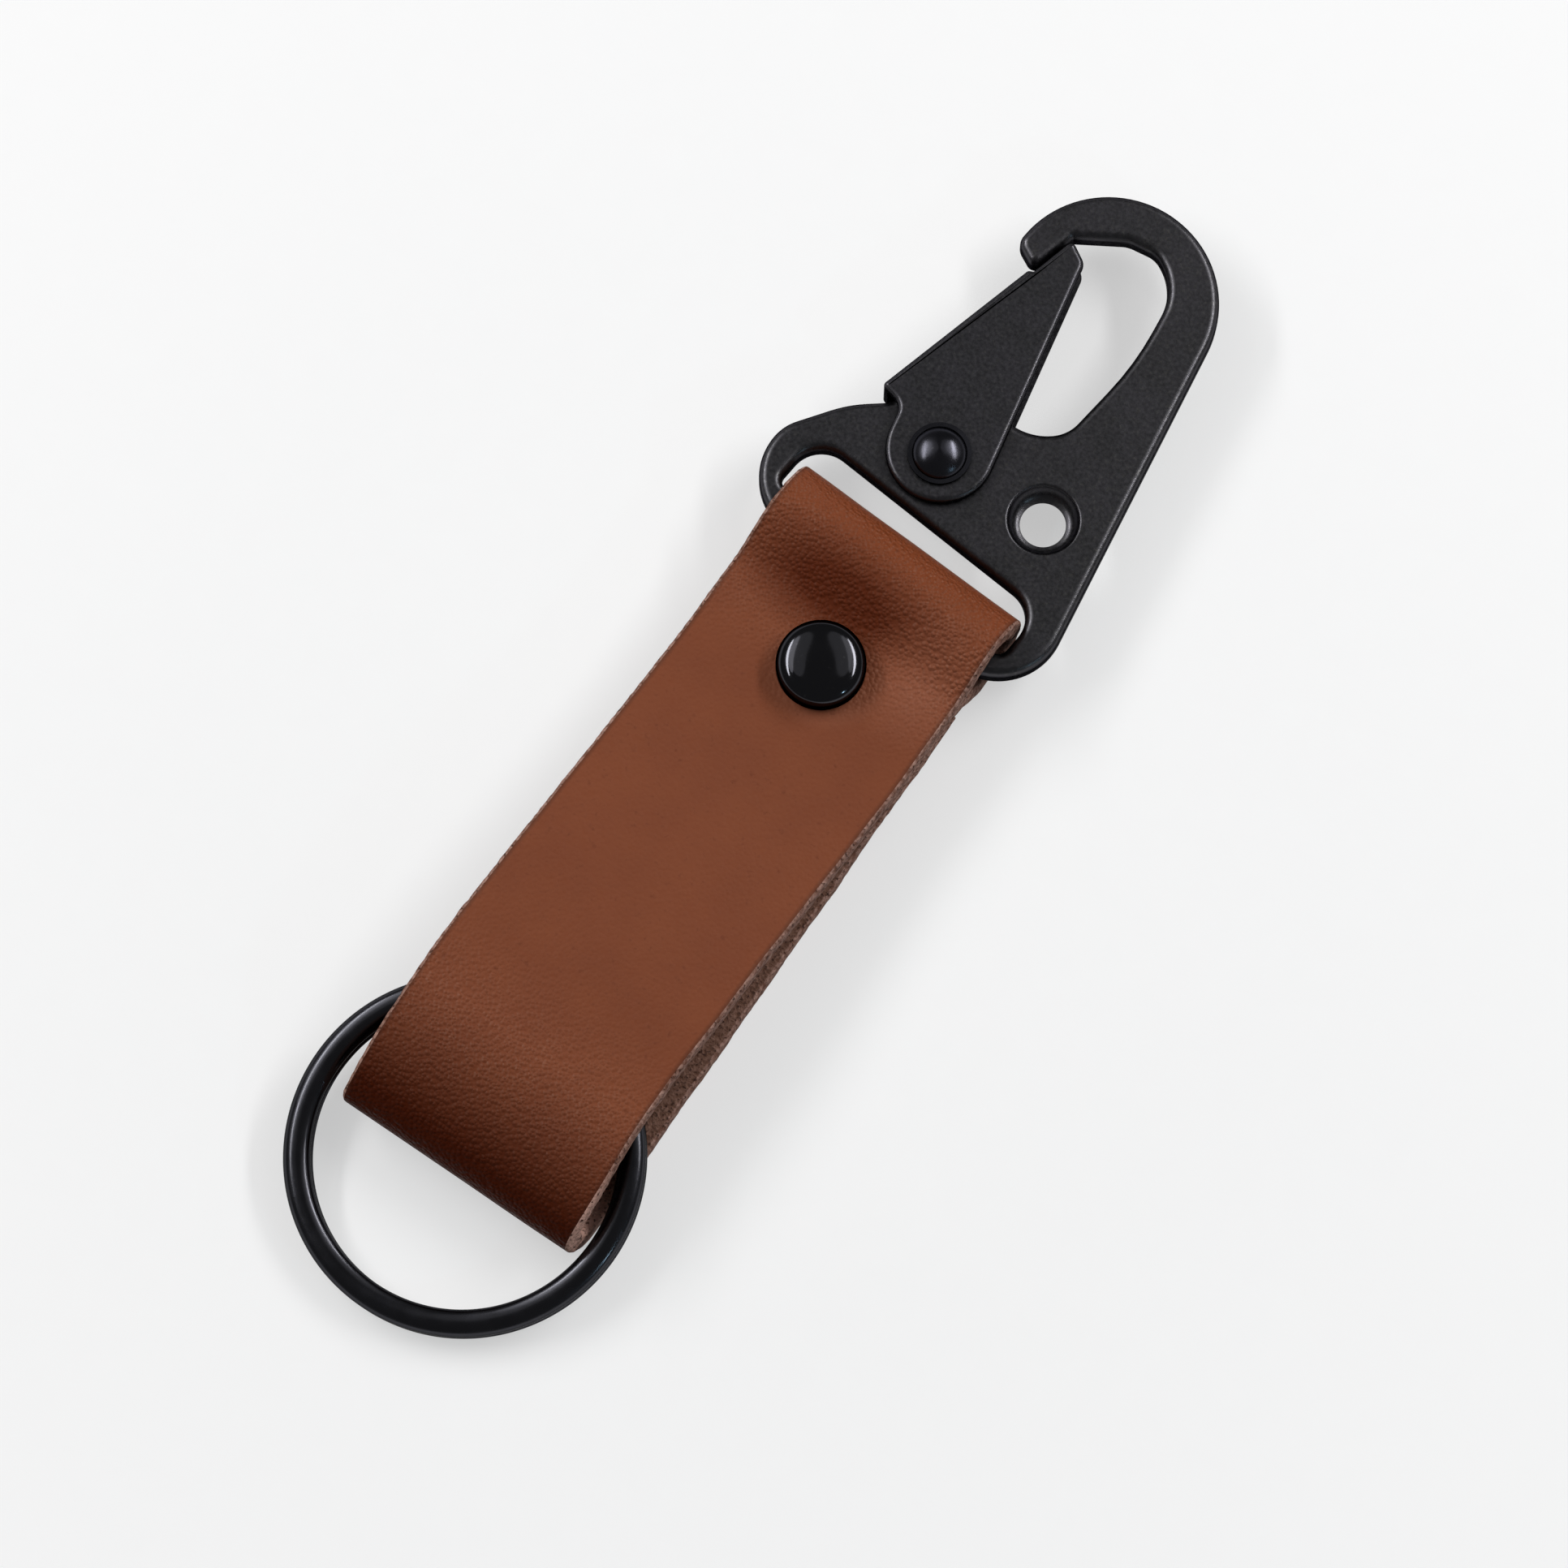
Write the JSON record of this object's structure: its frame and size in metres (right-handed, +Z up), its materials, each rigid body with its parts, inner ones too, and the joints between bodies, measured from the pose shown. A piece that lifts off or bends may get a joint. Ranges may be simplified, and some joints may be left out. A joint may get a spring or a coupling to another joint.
{
  "type": "leather key fob",
  "caption": "Leather key fob: a riveted strap folded round a snap-gate clip at one end and a split key ring at the other.",
  "frame": {"origin": "on the table, under the middle of the whole fob's length and width", "axes": "+X across the strap to the right, +Y along the strap towards the clip, +Z up from the table, out of the strap's face"},
  "size_m": [0.0327, 0.1215, 0.0093],
  "materials": {
    "leather": "oiled pebble grain, raw cut edges",
    "clip": "satin black coating on die-cast metal",
    "gate": "satin black coating on folded sheet steel",
    "rivet": "glossy black plating",
    "ring": "glossy black plating on spring steel",
    "spring": "bright drawn wire"
  },
  "bodies": {
    "strap": {"leather_strap": "leather", "rivet_front_cap": "rivet", "rivet_back_cap": "rivet"},
    "clip": {"clip_plate": "clip", "gate_rivet": "rivet", "gate_spring": "spring"},
    "gate": {"gate": "gate"},
    "ring": {"split_ring": "ring"}
  },
  "joints": [
    {"name": "clip_swing", "type": "hinge", "parent": "strap", "child": "clip", "pos_m": [-0.00086, 0.01757, 0.00425], "axis": [0.9982, -0.0593, 0], "range_deg": [-100, 100]},
    {"name": "gate_pivot", "type": "hinge", "parent": "clip", "child": "gate", "pos_m": [-0.00313, 0.02988, 0.00425], "axis": [0, 0, -1], "range_deg": [0, 22], "stiffness_Nm_per_rad": 0.02, "springref_deg": -57.3, "deforming": ["gate_spring"]},
    {"name": "ring_slide", "type": "slide", "parent": "strap", "child": "ring", "axis": [0, -1, 0], "range_m": [-0.002, 0.003]}
  ]
}
